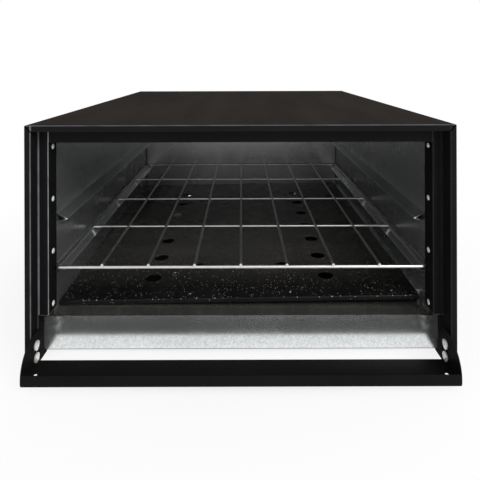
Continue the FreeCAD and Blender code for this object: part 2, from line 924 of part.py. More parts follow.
def apron():
    """The zinc-coated front of the burner compartment: sloping ledge, upright face and foot flange."""
    body = new_body("apron")
    face = rectangle("apron_back", "apron_foot", "apron_back + apron_sheet", "apron_top")
    grow(body, "YZ", "-apron_half", "2 * apron_half", [face])
    slope_end = "apron_back + ledge_slope_depth"
    upper = "apron_top + ledge_rise"
    ledge = [
        ("apron_back", "apron_top"),
        (slope_end, upper),
        ("apron_back + ledge_depth", upper),
        ("apron_back + ledge_depth", f"{upper} - apron_sheet"),
        (slope_end, f"{upper} - apron_sheet"),
        ("apron_back + apron_sheet", "apron_top - apron_sheet"),
        ("apron_back", "apron_top - apron_sheet"),
    ]
    half = "jamb_half - wall_clearance"
    grow(body, "YZ", f"-({half})", f"2 * ({half})", [ledge])
    foot_half = "cavity_half - wall_clearance"
    foot_end = "apron_back + apron_foot_flange"
    foot = rectangle("apron_back + apron_sheet", "apron_foot", foot_end, "apron_foot + apron_sheet")
    grow(body, "YZ", f"-({foot_half})", f"2 * ({foot_half})", [foot])
    round_edges(body, "X", [("apron_back", "apron_foot")], "apron_bend")
    return finish_piece("apron", body)


def burner_tray():
    """The heat shield under the burners, with flanges at its sides and back and two rows of air slots."""
    body = new_body("burner_tray")
    flange = "tray_level + tray_flange"
    inside = "cavity_half - liner_sheet"
    section = [
        ("-cavity_half", flange),
        ("-cavity_half", "tray_level"),
        ("cavity_half", "tray_level"),
        ("cavity_half", flange),
        (inside, flange),
        (inside, "tray_top"),
        (f"-({inside})", "tray_top"),
        (f"-({inside})", flange),
    ]
    grow(body, "XZ", "tray_front", "tray_end - tray_front", [section])
    rear = rectangle(f"-({inside})", "tray_level", inside, "tray_level + tray_rear_flange")
    grow(body, "XZ", "tray_end - liner_sheet", "liner_sheet", [rear])
    left = "-slot_pitch * (slot_count - 1) / 2 - slot_length / 2"
    for back in ("tray_slot_back", "tray_slot_rear_back"):
        slot = rectangle(left, back, f"{left} + slot_length", f"{back} + slot_width")
        row = carve(body, "XY", "tray_level", "liner_sheet", [slot])
        repeat(body, row, "X", "slot_count", "slot_pitch")
    for sign in SIDES.values():
        spot = ("tray_rivet_back", "tray_rivet_level", "rivet_radius + rivet_clearance")
        start = side_start(sign, inside, "liner_sheet")
        hole = carve(body, "YZ", start, "liner_sheet", circles=[spot])
        repeat(body, hole, "Y", "tray_rivet_count", "tray_rivet_pitch")
    return finish_piece("burner_tray", body)


# Wire rack and floor plate


def rack_frame():
    """The bent wire round the rack: four straight runs and four quarter bends."""
    wire = "rack_frame_wire / 2"
    inner = "rack_half - rack_bend"
    front = "rack_reach"
    wires = []
    for k, (sx, end) in enumerate(((1, "rack_end"), (-1, "rack_end"), (-1, front), (1, front))):
        corner = doc.addObject("Part::Torus", f"rack_corner_{k}")
        corner.Angle3 = 90
        turned = FreeCAD.Rotation(FreeCAD.Vector(0, 0, 1), 90 * k)
        corner.Placement = FreeCAD.Placement(FreeCAD.Vector(), turned)
        bind(corner, "Radius1", "rack_bend")
        bind(corner, "Radius2", wire)
        inward = "-" if end == "rack_end" else "+"
        spot = (f"{sx} * ({inner})", f"{end} {inward} rack_bend", "rack_level")
        for coordinate, text in zip("xyz", spot):
            bind(corner, "Placement.Base." + coordinate, text)
        wires.append(corner)
    for sx in SIDES.values():
        start = (f"{sx} * rack_half", f"{front} + rack_bend", "rack_level")
        wires.append(rod("rack_side", "Y", start, wire, "rack_length - 2 * rack_bend"))
    for end in (front, "rack_end"):
        start = (f"-({inner})", end, "rack_level")
        wires.append(rod("rack_end_wire", "X", start, wire, f"2 * ({inner})"))
    return finish_piece("rack_frame", join("rack_ring", wires))


def rack_wires():
    """Cross wires welded between the frame's sides, and lengthwise wires welded on top of them."""
    crossing = []
    for k in range(1, SIZES["rack_cross_count"] + 1):
        half = "rack_half - rack_frame_wire / 2 + rack_weld"
        start = (f"-({half})", f"rack_reach + {k} * rack_cross_pitch", "rack_level")
        crossing.append(rod("rack_cross", "X", start, "rack_wire / 2", f"2 * ({half})"))
    lengthwise = []
    for k in range(1, SIZES["rack_long_count"] + 1):
        start = (f"-rack_half + {k} * rack_long_pitch", "rack_reach - rack_tip", "rack_long_level")
        length = "rack_length + rack_tip + face_gap"
        lengthwise.append(rod("rack_long", "Y", start, "rack_wire / 2", length))
    for node, wires in (("rack_cross_wires", crossing), ("rack_long_wires", lengthwise)):
        group = doc.addObject("Part::Compound", node)
        group.Links = wires
        finish_piece(node, group)


def floor_plate():
    """Enamelled plate with a lip turned down at its front. Its frame lies at the left of its top face."""
    body = new_body("floor_plate")
    outline = rectangle("0", "floor_front", "floor_width", "floor_front + floor_length")
    holes = []
    for sign in SIDES.values():
        for k in range(SIZES["floor_hole_count"]):
            row = f"floor_hole_back + {k} * floor_hole_pitch"
            holes.append((f"floor_width / 2 + {sign} * floor_row_spread", row, "floor_hole"))
        holes.append((f"floor_width / 2 + {sign} * lighting_spread", "lighting_back", "floor_hole"))
    grow(body, "XY", "-floor_sheet", "floor_sheet", [outline], holes)
    lip = rectangle("0", "floor_front", "floor_width", "floor_front + floor_sheet")
    grow(body, "XY", "-floor_lip", "floor_lip - floor_sheet", [lip])
    round_edges(body, "X", [("floor_front", "0")], "floor_bend")
    body.Placement = FreeCAD.Placement(
        FreeCAD.Vector(), FreeCAD.Rotation(FreeCAD.Vector(0, 1, 0), -SIZES["floor_tilt"])
    )
    return finish_piece("floor_plate", body, "floor_left", "0", "floor_level")


# Lower flap and its screws


def flap_bend(radius):
    """Corners along the bend between the flap's lip and its plate, from the front to the underside."""
    corners = []
    for k in range(SIZES["flap_corner_steps"] + 1):
        turned = f"180 + {k} * (90 + flap_tilt) / flap_corner_steps"
        back = f"flap_bend_back + ({radius}) * cos({turned})"
        corners.append((back, f"flap_bend_level + ({radius}) * sin({turned})"))
    return corners


def flap():
    """A shallow tray with two upright cheeks. A notch in each cheek drops on to the stop screw."""
    shell = new_body("flap_shell")
    outer = flap_bend("flap_corner")
    inner = flap_bend("flap_corner - flap_sheet")
    plate = [
        *outer,
        ("flap_plate_back", "flap_level + flap_rise"),
        (
            "flap_plate_back - flap_sheet * sin(flap_tilt)",
            "flap_level + flap_rise + flap_sheet * cos(flap_tilt)",
        ),
        *reversed(inner),
    ]
    inside = "flap_half - flap_sheet"
    grow(shell, "YZ", f"-({inside})", f"2 * ({inside})", [plate])
    cheek = [
        ("-flap_reach", "flap_top"),
        *outer,
        ("flap_back", "flap_level + (flap_reach + flap_back) * flap_slope"),
        ("flap_back", "flap_top"),
    ]
    for sign in SIDES.values():
        grow(shell, "YZ", side_start(sign, inside, "flap_sheet"), "flap_sheet", [cheek])
    round_edges(shell, "X", [("-flap_reach", "flap_top")], "flap_round")
    round_edges(shell, "X", [("flap_back", "flap_top")], "flap_rear_corner")
    lip = rectangle("-flap_reach", "flap_bend_level", "flap_sheet - flap_reach", "flap_level + flap_lip")
    grow(shell, "YZ", f"-({inside})", f"2 * ({inside})", [lip])
    drains = [
        (f"{sign} * (flap_half - flap_drain_inset)", "-flap_drain_reach", "flap_drain_hole")
        for sign in SIDES.values()
    ]
    carve(shell, "XY", "flap_level", "flap_rise + flap_sheet", circles=drains)

    start = ("-rebate_half", "pivot_back", "pivot_level")
    across = "2 * rebate_half"
    pivot = rod("pivot_bore", "X", start, "pivot_radius + pivot_clearance", across)
    track = "stop_radius + notch_clearance"
    foot = ("-rebate_half", "pivot_back", "stop_level")
    notch_end = rod("notch_end", "X", foot, track, across)
    notch_outer = rod("notch_outer", "X", start, f"stop_drop + {track}", across)
    down_and_back = FreeCAD.Rotation(
        FreeCAD.Vector(0, 0, -1), FreeCAD.Vector(0, 1, 0), FreeCAD.Vector(1, 0, 0), "XYZ"
    )
    notch_outer.Placement = FreeCAD.Placement(FreeCAD.Vector(), down_and_back)
    notch_outer.Angle = 90
    notch_inner = rod("notch_inner", "X", start, f"stop_drop - ({track})", across)
    notch = cut("notch", notch_outer, notch_inner)
    tools = join("flap_cuts", [pivot, notch_end, notch])
    return finish_piece("flap", cut("flap_cut", shell, tools))


def flap_screw(node, sign, level, radius):
    """A domed zinc screw through the cheek and the rebate wall."""
    seat = "flap_half - flap_sheet - face_gap"
    tip = "rebate_half + case_sheet + screw_tip"

    def spot(x, out):
        return (f"{sign} * ({x})", f"pivot_back + {out}")

    corners = [
        spot(f"{seat} - screw_head_height", "0"),
        spot(f"{seat} - screw_head_height", f"screw_head * {SCREW_FACE}"),
        spot(f"{seat} - screw_head_height + screw_dome", "screw_head"),
        spot(seat, "screw_head"),
        spot(seat, radius),
        spot(tip, radius),
        spot(tip, "0"),
    ]
    axis = [spot(f"{seat} - screw_head_height", "0"), spot(tip, "0")]
    body = new_body(node)
    turn(body, "XY", level, axis, corners)
    return finish_piece(node, body)


def flap_washers():
    """Spacers on the pivot screws, between each cheek and the rebate wall."""
    rings = []
    length = "flap_side_gap - face_gap"
    for sign in SIDES.values():
        start = (side_start(sign, "flap_half + face_gap", length), "pivot_back", "pivot_level")
        disc = rod("washer", "X", start, "washer_radius", length)
        bore = rod("washer_bore", "X", start, "pivot_radius + slip_clearance", length)
        rings.append(cut("washer_cut", disc, bore))
    pair = doc.addObject("Part::Compound", "flap_washers")
    pair.Links = rings
    return finish_piece("flap_washers", pair)


# Insulation between the inner box and the case


def insulation():
    end = "liner_end - insulation_rear_space"
    outer = "half_width - case_sheet - insulation_gap"
    inner = "cavity_half + insulation_side_gap"
    start = "base_flange_back"
    foot = "case_sheet + insulation_gap"
    for side, sign in SIDES.items():
        sheet = on_side(sign, rectangle(inner, start, outer, end))
        slab(f"insulation_{side}", sheet, foot, f"cavity_top - ({foot})")
    roof = "cavity_top + liner_sheet + insulation_gap"
    sheet = rectangle(f"-({outer})", "insulation_front", outer, end)
    slab("insulation_top", sheet, roof, f"case_height - ({foot}) - ({roof})")

    board = new_body("insulation_back")
    half = "cavity_half - insulation_gap"
    shelf = "jamb_foot - 7 + liner_sheet"
    sheet = rectangle(f"-({half})", shelf, half, "cavity_top - insulation_gap")
    duct_half = "duct_width / 2 + insulation_gap"
    duct_rise = "duct_height / 2 + insulation_gap"
    opening = rectangle(
        f"-({duct_half})", f"duct_level - ({duct_rise})", duct_half, f"duct_level + {duct_rise}"
    )
    front = "cavity_back + liner_sheet + insulation_gap"
    grow(board, "XZ", front, "insulation_back_sheet", [sheet, opening])
    finish_piece("insulation_back", board)


# Burners


def burner(side, sign):
    """A tube with two rows of gas ports along its top."""
    body = new_body(f"burner_{side}")
    rings = [("0", "0", "burner_radius"), ("0", "0", "burner_radius - burner_wall")]
    grow(body, "XZ", "0", "burner_length", [], rings)
    for row in (-1, 1):
        port = [(f"{row} * port_spread", "port_start", "port_radius")]
        hole = carve(body, "XY", "0", "burner_radius", circles=port)
        repeat(body, hole, "Y", "port_count", "port_pitch")
    x = f"{sign} * burner_spread"
    return finish_piece(f"burner_{side}", body, x, "burner_front", "burner_level")


def burner_cap(side, sign):
    """The cap over the front end of a burner."""
    inner = "burner_radius + slip_clearance"
    outer = "burner_radius + cap_wall"
    corners = [
        ("0", "-cap_wall"),
        (outer, "-cap_wall"),
        (outer, "cap_length"),
        (inner, "cap_length"),
        (inner, "0"),
        ("0", "0"),
    ]
    body = new_body(f"burner_cap_{side}")
    turn(body, "XY", "0", [("0", "-cap_wall"), ("0", "cap_length")], corners)
    x = f"{sign} * burner_spread"
    return finish_piece(f"burner_cap_{side}", body, x, "burner_front", "burner_level")


def burner_bracket(end):
    """A folded strip that stands on the tray and carries both burners."""
    node = f"burner_bracket_{end}"
    body = new_body(node)
    upright = rectangle("-bracket_half", "tray_top", "bracket_half", "bracket_top")
    holes = [
        (f"{sign} * burner_spread", "burner_level", "burner_radius + slip_clearance")
        for sign in SIDES.values()
    ]
    back = f"bracket_{end}_back"
    grow(body, "XZ", back, "bracket_sheet", [upright], holes)
    foot = rectangle("-bracket_half", f"{back} + bracket_sheet", "bracket_half", f"{back} + bracket_foot")
    grow(body, "XY", "tray_top", "bracket_sheet", [foot])
    return finish_piece(node, body)


def mixer(side, sign):
    """A venturi that slips into the burner, with a bell whose end wall has air windows and a boss."""
    spigot = "burner_radius - burner_wall - slip_clearance"
    wall_front = "mixer_length - mixer_wall"
    corners = [
        ("mixer_throat + 2", "-mixer_spigot"),
        (spigot, "-mixer_spigot"),
        (spigot, "0"),
        ("burner_radius", "0"),
        ("burner_radius", "mixer_neck"),
        ("mixer_bell", "mixer_neck + 14"),
        ("mixer_bell", "mixer_length"),
        ("boss_radius", "mixer_length"),
        ("boss_radius", "mixer_length + boss_length"),
        ("boss_bore", "mixer_length + boss_length"),
        ("boss_bore", wall_front),
        ("mixer_bell - mixer_wall", wall_front),
        ("mixer_bell - mixer_wall", "mixer_neck + 15"),
        ("mixer_throat", "mixer_neck - 8"),
        ("mixer_throat", "mixer_neck - 14"),
    ]
    body = new_body(f"mixer_{side}")
    turn(body, "XY", "0", [("0", "-mixer_spigot"), ("0", "mixer_length")], corners)
    window = carve(body, "XZ", wall_front, "mixer_wall", circles=[("0", "window_ring", "window_radius")])
    repeat_round(body, window, "Y", "window_count")
    x = f"{sign} * burner_spread"
    return finish_piece(f"mixer_{side}", body, x, "mixer_back", "burner_level")


def air_shutter(side, sign):
    """A disc on the mixer's boss, whose windows match the mixer's, with a tab to turn it by."""
    body = new_body(f"air_shutter_{side}")
    rings = [("0", "0", "shutter_radius"), ("0", "0", "boss_radius + shutter_clearance")]
    grow(body, "XZ", "0", "shutter_sheet", [], rings)
    low = "shutter_radius - 2"
    tab = rectangle("-shutter_tab_half", low, "shutter_tab_half", "shutter_tab")
    grow(body, "XZ", "0", "shutter_sheet", [tab])
    window = carve(body, "XZ", "0", "shutter_sheet", circles=[("0", "window_ring", "window_radius")])
    repeat_round(body, window, "Y", "window_count")
    x = f"{sign} * burner_spread"
    return finish_piece(f"air_shutter_{side}", body, x, "shutter_back", "burner_level")


def injector(side, sign):
    """A brass jet with a hexagon, screwed into a saddle. Its frame lies at the saddle's face."""
    tip = "-injector_hex - injector_reach"
    corners = [
        ("injector_jet", tip),
        ("injector_tip", tip),
        ("injector_shank", f"{tip} + injector_cone"),
        ("injector_shank", "-injector_hex"),
        ("injector_shoulder", "-injector_hex"),
        ("injector_shoulder", "0"),
        ("injector_thread", "0"),
        ("injector_thread", "injector_thread_length"),
        ("injector_bore", "injector_thread_length"),
        ("injector_bore", f"{tip} + injector_cone"),
        ("injector_jet", f"{tip} + injector_jet_length"),
    ]
    body = new_body(f"injector_{side}")
    turn(body, "XY", "0", [("0", tip), ("0", "injector_thread_length")], corners)
    bore = [("0", "0", "injector_bore")]
    grow(body, "XZ", "-injector_hex", "injector_hex", [hexagon("injector_flats")], bore)
    x = f"{sign} * burner_spread"
    return finish_piece(f"injector_{side}", body, x, "injector_back", "burner_level")


def gas_manifold():
    """The cross tube behind the burners, with two injector saddles and a socket for the supply pipe."""
    length = "manifold_left + manifold_right"
    start = ("-manifold_left", "manifold_back", "burner_level")
    outside = [rod("manifold_tube", "X", start, "manifold_radius", length)]
    bore = "manifold_radius - manifold_wall"
    inner_start = ("-manifold_left + manifold_wall", "manifold_back", "burner_level")
    inside = [rod("manifold_bore", "X", inner_start, bore, f"{length} - 2 * manifold_wall")]
    for sign in SIDES.values():
        saddle = (f"{sign} * burner_spread", "injector_back", "burner_level")
        outside.append(rod("saddle", "Y", saddle, "saddle_radius", "saddle_reach"))
        hole = "injector_thread + slip_clearance"
        inside.append(rod("saddle_bore", "Y", saddle, hole, "saddle_reach"))
    socket = ("supply_x", "manifold_back", "burner_level")
    outside.append(rod("socket", "Y", socket, "manifold_radius", "socket_end - manifold_back"))
    inside.append(rod("socket_bore", "Y", socket, "supply_bore", "socket_end - manifold_back"))
    seat = ("supply_x", "supply_front", "burner_level")
    inside.append(rod("socket_seat", "Y", seat, "supply_radius + slip_clearance", "supply_insert"))
    tube = cut("manifold_cut", join("manifold_outside", outside), join("manifold_inside", inside))
    return finish_piece("gas_manifold", tube)


def manifold_brackets():
    """Two uprights on the tray that hold the manifold."""
    brackets = []
    for x in ("bracket_left_x", "bracket_right_x"):
        reach = "manifold_radius + bracket_margin"
        low = (x, f"manifold_back - ({reach})", "tray_top")
        high = (f"{x} + bracket_bar", f"manifold_back + {reach}", f"burner_level + {reach}")
        upright = block("manifold_upright", low, high)
        foot_high = (f"{x} + bracket_bar_foot", f"manifold_back + {reach}", "tray_top + bracket_bar")
        foot = block("manifold_foot", low, foot_high)
        start = (x, "manifold_back", "burner_level")
        hole = rod("manifold_hole", "X", start, "manifold_radius + slip_clearance", "bracket_bar")
        brackets.append(cut("manifold_bracket", join("manifold_strip", [upright, foot]), hole))
    pair = doc.addObject("Part::Compound", "manifold_brackets")
    pair.Links = brackets
    return finish_piece("manifold_brackets", pair)


def supply_pipe():
    """The pipe from the manifold through the back panel to the cock."""
    length = "supply_end - supply_front"
    start = ("supply_x", "supply_front", "burner_level")
    outside = rod("supply_outside", "Y", start, "supply_radius", length)
    inside = rod("supply_inside", "Y", start, "supply_bore", length)
    return finish_piece("supply_pipe", cut("supply_cut", outside, inside))


def cock_body():
    """The inlet cock: a turned brass body with a neck for the lever's stem. Its frame lies at its front."""
    middle = "cock_length / 2"
    seat = "supply_radius + slip_clearance"
    rear_seat = "nipple_spigot + slip_clearance"
    corners = [
        (seat, "0"),
        ("cock_socket", "0"),
        ("cock_socket", f"{middle} - 12"),
        ("cock_waist", f"{middle} - 8"),
        ("cock_waist", f"{middle} + 8"),
        ("cock_socket", f"{middle} + 12"),
        ("cock_socket", "cock_length"),
        (rear_seat, "cock_length"),
        (rear_seat, "cock_length - supply_insert"),
        ("supply_bore", "cock_length - supply_insert"),
        ("supply_bore", "supply_insert"),
        (seat, "supply_insert"),
    ]
    body = new_body("cock_turned")
    turn(body, "XY", "0", [("0", "0"), ("0", "cock_length")], corners)
    neck_level = "cock_neck_start"
    neck_length = f"cock_neck_height - {neck_level}"
    neck = rod("cock_neck", "Z", ("0", middle, neck_level), "cock_neck", neck_length)
    bore_level = "cock_neck_height - stem_depth"
    bore = rod("stem_bore", "Z", ("0", middle, bore_level), "stem_radius + slip_clearance", "stem_depth")
    solid = cut("cock_cut", join("cock_outside", [body, neck]), bore)
    return finish_piece("cock_body", solid, "supply_x", "cock_front", "burner_level")


def cock_lever():
    """The stem and the arm, across the pipe when the gas is off. Its own frame lies on the stem's axis."""
    body = new_body("cock_lever")
    foot = "cock_neck_height - stem_depth + face_gap"
    seat = "cock_neck_height + face_gap"
    grow(body, "XY", foot, f"{seat} - ({foot})", [], [("0", "0", "stem_radius")])
    arm = rectangle("-lever_length", "-lever_half", "lever_heel", "lever_half")
    grow(body, "XY", seat, "lever_sheet", [arm])
    ends = [("-lever_length", "-lever_half"), ("-lever_length", "lever_half")]
    round_edges(body, "Z", ends, "lever_corner")
    return finish_piece("cock_lever", body, "supply_x", "cock_middle", "burner_level")


def inlet_nipple():
    """The threaded inlet: spigot in the cock, hexagon and male thread. Its frame lies at the cock's end."""
    end = "nipple_hex + nipple_thread_length"
    corners = [
        ("nipple_bore", "-supply_insert + face_gap"),
        ("nipple_spigot", "-supply_insert + face_gap"),
        ("nipple_spigot", "0"),
        ("nipple_thread", "0"),
        ("nipple_thread", end),
        ("nipple_bore", end),
    ]
    body = new_body("inlet_nipple")
    turn(body, "XY", "0", [("0", "-supply_insert"), ("0", end)], corners)
    grow(body, "XZ", "0", "nipple_hex", [hexagon("nipple_flats")], [("0", "0", "nipple_bore")])
    return finish_piece("inlet_nipple", body, "supply_x", "cock_end", "burner_level")


# Flue


def flue_duct():
    body = new_body("flue_duct")
    outer = rectangle(
        "-duct_width / 2",
        "duct_level - duct_height / 2",
        "duct_width / 2",
        "duct_level + duct_height / 2",
    )
    inner = rectangle(
        "-duct_width / 2 + duct_sheet",
        "duct_level - duct_height / 2 + duct_sheet",
        "duct_width / 2 - duct_sheet",
        "duct_level + duct_height / 2 - duct_sheet",
    )
    front = "cavity_back + liner_sheet"
    grow(body, "XZ", front, f"wrap_length - ({front})", [outer, inner])
    return finish_piece("flue_duct", body)


def cowl_half():
    return "duct_width / 2 + cowl_side"


def cowl_screw_holes():
    return [
        (
            f"{sign} * ({cowl_half()} + cowl_tab / 2)",
            f"duct_level + {up} * cowl_screw_spread",
            "back_screw_radius + hole_clearance",
        )
        for sign in SIDES.values()
        for up in (-1, 1)
    ]


def flue_cowl():
    """A hood over the flue outlet, open at its top, with a tab for screws at each side."""
    body = new_body("flue_cowl")
    half = cowl_half()
    low = "duct_level - duct_height / 2 - cowl_rise"
    high = "duct_level + duct_height / 2 + cowl_rise"
    hood = rectangle(f"-({half})", low, half, high)
    grow(body, "XZ", "case_depth", "cowl_depth", [hood])
    inner = rectangle(
        f"-({half}) + cowl_sheet", f"{low} + cowl_sheet", f"{half} - cowl_sheet", f"{high} + 1"
    )
    carve(body, "XZ", "case_depth", "cowl_depth - cowl_sheet", [inner])
    tab = rectangle(half, low, f"{half} + cowl_tab", high)
    for sign in SIDES.values():
        holes = [hole for hole in cowl_screw_holes() if hole[0].startswith(f"{sign} ")]
        grow(body, "XZ", "case_depth", "cowl_sheet", [on_side(sign, tab)], holes)
    return finish_piece("flue_cowl", body)


def cowl_screws():
    body = new_body("cowl_screws")
    for x, level, _ in cowl_screw_holes():
        screw_row(
            body,
            x,
            level,
            "case_depth + cowl_sheet",
            "back_screw_head",
            "back_screw_head_height",
            "back_screw_radius",
            "cowl_screw_length + cowl_sheet",
        )
    return finish_piece("cowl_screws", body)


# The whole oven

case_wrap()
case_back()
back_screws()
jamb_roof()
liner_roof()
liner_back()
apron()
burner_tray()
rack_frame()
rack_wires()
floor_plate()
flap()
flap_washers()
insulation()
for side, sign in SIDES.items():
    jamb(side, sign)
    liner_side(side, sign)
    rail("upper", side, sign)
    rail("lower", side, sign)
    floor_angle(side, sign)
    rivet_line(
        f"jamb_rivets_{side}",
        sign,
        "jamb_half",
        "jamb_sheet + liner_sheet",
        "rivet_back",
        "rivet_level",
        "Z",
        "rivet_count",
        "rivet_pitch",
    )
    rivet_line(
        f"tray_rivets_{side}",
        sign,
        "cavity_half - liner_sheet",
        "2 * liner_sheet",
        "tray_rivet_back",
        "tray_rivet_level",
        "Y",
        "tray_rivet_count",
        "tray_rivet_pitch",
    )
    flap_screw(f"flap_pivot_{side}", sign, "pivot_level", "pivot_radius")
    flap_screw(f"flap_stop_{side}", sign, "stop_level", "stop_radius")
    burner(side, sign)
    burner_cap(side, sign)
    mixer(side, sign)
    air_shutter(side, sign)
    injector(side, sign)
burner_bracket("front")
burner_bracket("rear")
gas_manifold()
manifold_brackets()
supply_pipe()
cock_body()
cock_lever()
inlet_nipple()
flue_duct()
flue_cowl()
cowl_screws()
doc.recompute()

# Every object has to be sound before a file is written.
faults = []
for thing in doc.Objects:
    if {"Invalid", "Error"} & set(thing.State):
        faults.append(f"{thing.Label}: {thing.State}")
for piece in pieces:
    if piece.Shape.isNull() or not piece.Shape.Solids or not piece.Shape.isValid():
        faults.append(f"{piece.Label}: no valid solid")
if faults:
    raise SystemExit("\n".join(faults))

os.makedirs("parts", exist_ok=True)
for piece in pieces:
    piece.Shape.exportStep(f"parts/{piece.Label}.step")
print(f"{len(pieces)} nodes, {sum(len(piece.Shape.Solids) for piece in pieces)} solids")
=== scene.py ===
import json
import math
import random

import bmesh
import bpy
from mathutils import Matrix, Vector


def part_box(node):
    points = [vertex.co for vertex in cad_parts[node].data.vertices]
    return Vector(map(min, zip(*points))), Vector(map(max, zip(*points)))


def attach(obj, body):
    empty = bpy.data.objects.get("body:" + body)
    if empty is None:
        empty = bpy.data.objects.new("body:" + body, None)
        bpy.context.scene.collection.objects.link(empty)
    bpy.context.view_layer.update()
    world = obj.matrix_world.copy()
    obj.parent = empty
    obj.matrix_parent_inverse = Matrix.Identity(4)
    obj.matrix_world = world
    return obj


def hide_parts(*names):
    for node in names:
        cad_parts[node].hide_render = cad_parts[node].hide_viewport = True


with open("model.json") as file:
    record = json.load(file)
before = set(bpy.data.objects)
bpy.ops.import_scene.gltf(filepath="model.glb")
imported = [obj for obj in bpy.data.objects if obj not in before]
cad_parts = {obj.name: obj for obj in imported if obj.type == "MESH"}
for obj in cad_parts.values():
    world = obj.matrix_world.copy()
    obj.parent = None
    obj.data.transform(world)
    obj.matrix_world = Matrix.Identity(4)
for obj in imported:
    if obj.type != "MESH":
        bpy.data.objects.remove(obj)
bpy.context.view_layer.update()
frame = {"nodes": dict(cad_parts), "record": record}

NODES = frame["nodes"]
# Places on the oven, in metres
FRONT = -0.3605  # the front plane of the case, along Y
HALF_WIDTH = 0.3
ROOF = 0.345  # the roof's top face
FRAME_PLANE = FRONT + 0.022  # the door frame's face
JAMB_FOOT = 0.0695  # the jambs' lower ends
APRON_TOP = 0.0574  # where the apron's ledge begins
CAVITY = 0.277  # half the width of the cavity
CAVITY_ROOF = 0.318
CAVITY_BACK = FRONT + 0.665


# Camera: level, close in front of the opening and above the roof, as the vanishing point shows

EYE_FORWARD = 0.596  # from the case's front plane
EYE_LEVEL = 0.433
EYE_SIDE = 0.0017
CAMERA_ROLL = 0.17  # degrees
camera_data = bpy.data.cameras.new("photo_camera")
camera_data.sensor_width = 36
camera_data.lens = 32.28
camera_data.shift_x = -0.0029
camera_data.shift_y = -0.372
camera = bpy.data.objects.new("photo_camera", camera_data)
camera.location = (EYE_SIDE, FRONT - EYE_FORWARD, EYE_LEVEL)
camera.rotation_euler = (math.radians(90), math.radians(CAMERA_ROLL), 0)
bpy.context.scene.collection.objects.link(camera)
bpy.context.scene.camera = camera
bpy.context.scene.view_settings.view_transform = "Standard"
bpy.context.scene.view_settings.look = "None"


# Materials


class Shader:
    """A node material under construction."""

    def __init__(self, name, colour, metallic=0.0, roughness=0.5, **sockets):
        self.material = bpy.data.materials.new(name)
        self.material.use_nodes = True
        self.nodes = self.material.node_tree.nodes
        self.links = self.material.node_tree.links
        self.body = self.nodes["Principled BSDF"]
        self.body.inputs["Base Color"].default_value = (*colour, 1)
        self.body.inputs["Metallic"].default_value = metallic
        self.body.inputs["Roughness"].default_value = roughness
        for socket, value in sockets.items():
            self.body.inputs[socket.replace("_", " ")].default_value = value
        self.place = self.nodes.new("ShaderNodeTexCoord").outputs["Object"]

    def join(self, output, node_input):
        self.links.new(output, node_input)

    def stretched(self, scale):
        mapping = self.nodes.new("ShaderNodeMapping")
        mapping.inputs["Scale"].default_value = scale
        self.join(self.place, mapping.inputs["Vector"])
        return mapping.outputs["Vector"]

    def noise(self, scale, detail=4.0, rough=0.55, stretch=None):
        node = self.nodes.new("ShaderNodeTexNoise")
        node.inputs["Scale"].default_value = scale
        node.inputs["Detail"].default_value = detail
        node.inputs["Roughness"].default_value = rough
        self.join(self.stretched(stretch) if stretch else self.place, node.inputs["Vector"])
        return node.outputs["Fac"]

    def cells(self, scale, output="Distance"):
        node = self.nodes.new("ShaderNodeTexVoronoi")
        node.inputs["Scale"].default_value = scale
        self.join(self.place, node.inputs["Vector"])
        return node.outputs[output]

    def ramp(self, value, stops):
        node = self.nodes.new("ShaderNodeValToRGB")
        node.color_ramp.elements[0].position = stops[0][0]
        node.color_ramp.elements[1].position = stops[-1][0]
        for position, _ in stops[1:-1]:
            node.color_ramp.elements.new(position)
        for element, (_, colour) in zip(node.color_ramp.elements, stops):
            shade = (colour,) * 3 if isinstance(colour, (int, float)) else colour
            element.color = (*shade, 1)
        self.join(value, node.inputs["Fac"])
        return node.outputs["Color"]

    def mix(self, factor, one, two, blend="MIX"):
        node = self.nodes.new("ShaderNodeMix")
        node.data_type = "RGBA"
        node.blend_type = blend
        for value, socket in ((factor, 0), (one, 6), (two, 7)):
            if isinstance(value, (int, float)):
                node.inputs[socket].default_value = value
            elif isinstance(value, tuple):
                node.inputs[socket].default_value = (*value, 1)
            else:
                self.join(value, node.inputs[socket])
        return node.outputs[2]

    def maths(self, operation, one, two=0.0):
        node = self.nodes.new("ShaderNodeMath")
        node.operation = operation
        for value, socket in ((one, 0), (two, 1)):
            if isinstance(value, (int, float)):
                node.inputs[socket].default_value = value
            else:
                self.join(value, node.inputs[socket])
        return node.outputs[0]

    def near_line(self, axis_one, place_one, axis_two, place_two, width):
        """1 along a straight edge, fading out at width from it. The axis "both X" mirrors it."""
        squares = []
        for axis, place in ((axis_one, place_one), (axis_two, place_two)):
            here = self.axis(axis[-1])
            if axis == "both X":
                here = self.maths("ABSOLUTE", here)
            off = self.maths("SUBTRACT", here, place)
            squares.append(self.maths("MULTIPLY", off, off))
        away = self.maths("SQRT", self.maths("ADD", *squares))
        return self.ramp(self.maths("DIVIDE", away, width), [(0.55, 1.0), (1.0, 0.0)])

    def grey(self, colour):
        node = self.nodes.new("ShaderNodeRGBToBW")
        self.join(colour, node.inputs[0])
        return node.outputs[0]

    def along(self, axis, start, end, first=0.0, last=1.0):
        """Goes from first to last between two places on an axis."""
        node = self.nodes.new("ShaderNodeMapRange")
        node.inputs["From Min"].default_value = start
        node.inputs["From Max"].default_value = end
        node.inputs["To Min"].default_value = first
        node.inputs["To Max"].default_value = last
        self.join(self.axis(axis), node.inputs["Value"])
        return node.outputs[0]

    def finish(self, colour):
        self.join(colour, self.body.inputs["Base Color"])

    def bump(self, height, strength, distance):
        node = self.nodes.new("ShaderNodeBump")
        node.inputs["Strength"].default_value = strength
        node.inputs["Distance"].default_value = distance
        self.join(height, node.inputs["Height"])
        self.join(node.outputs["Normal"], self.body.inputs["Normal"])

    def axis(self, name):
        node = self.nodes.new("ShaderNodeSeparateXYZ")
        self.join(self.place, node.inputs[0])
        return node.outputs[name]


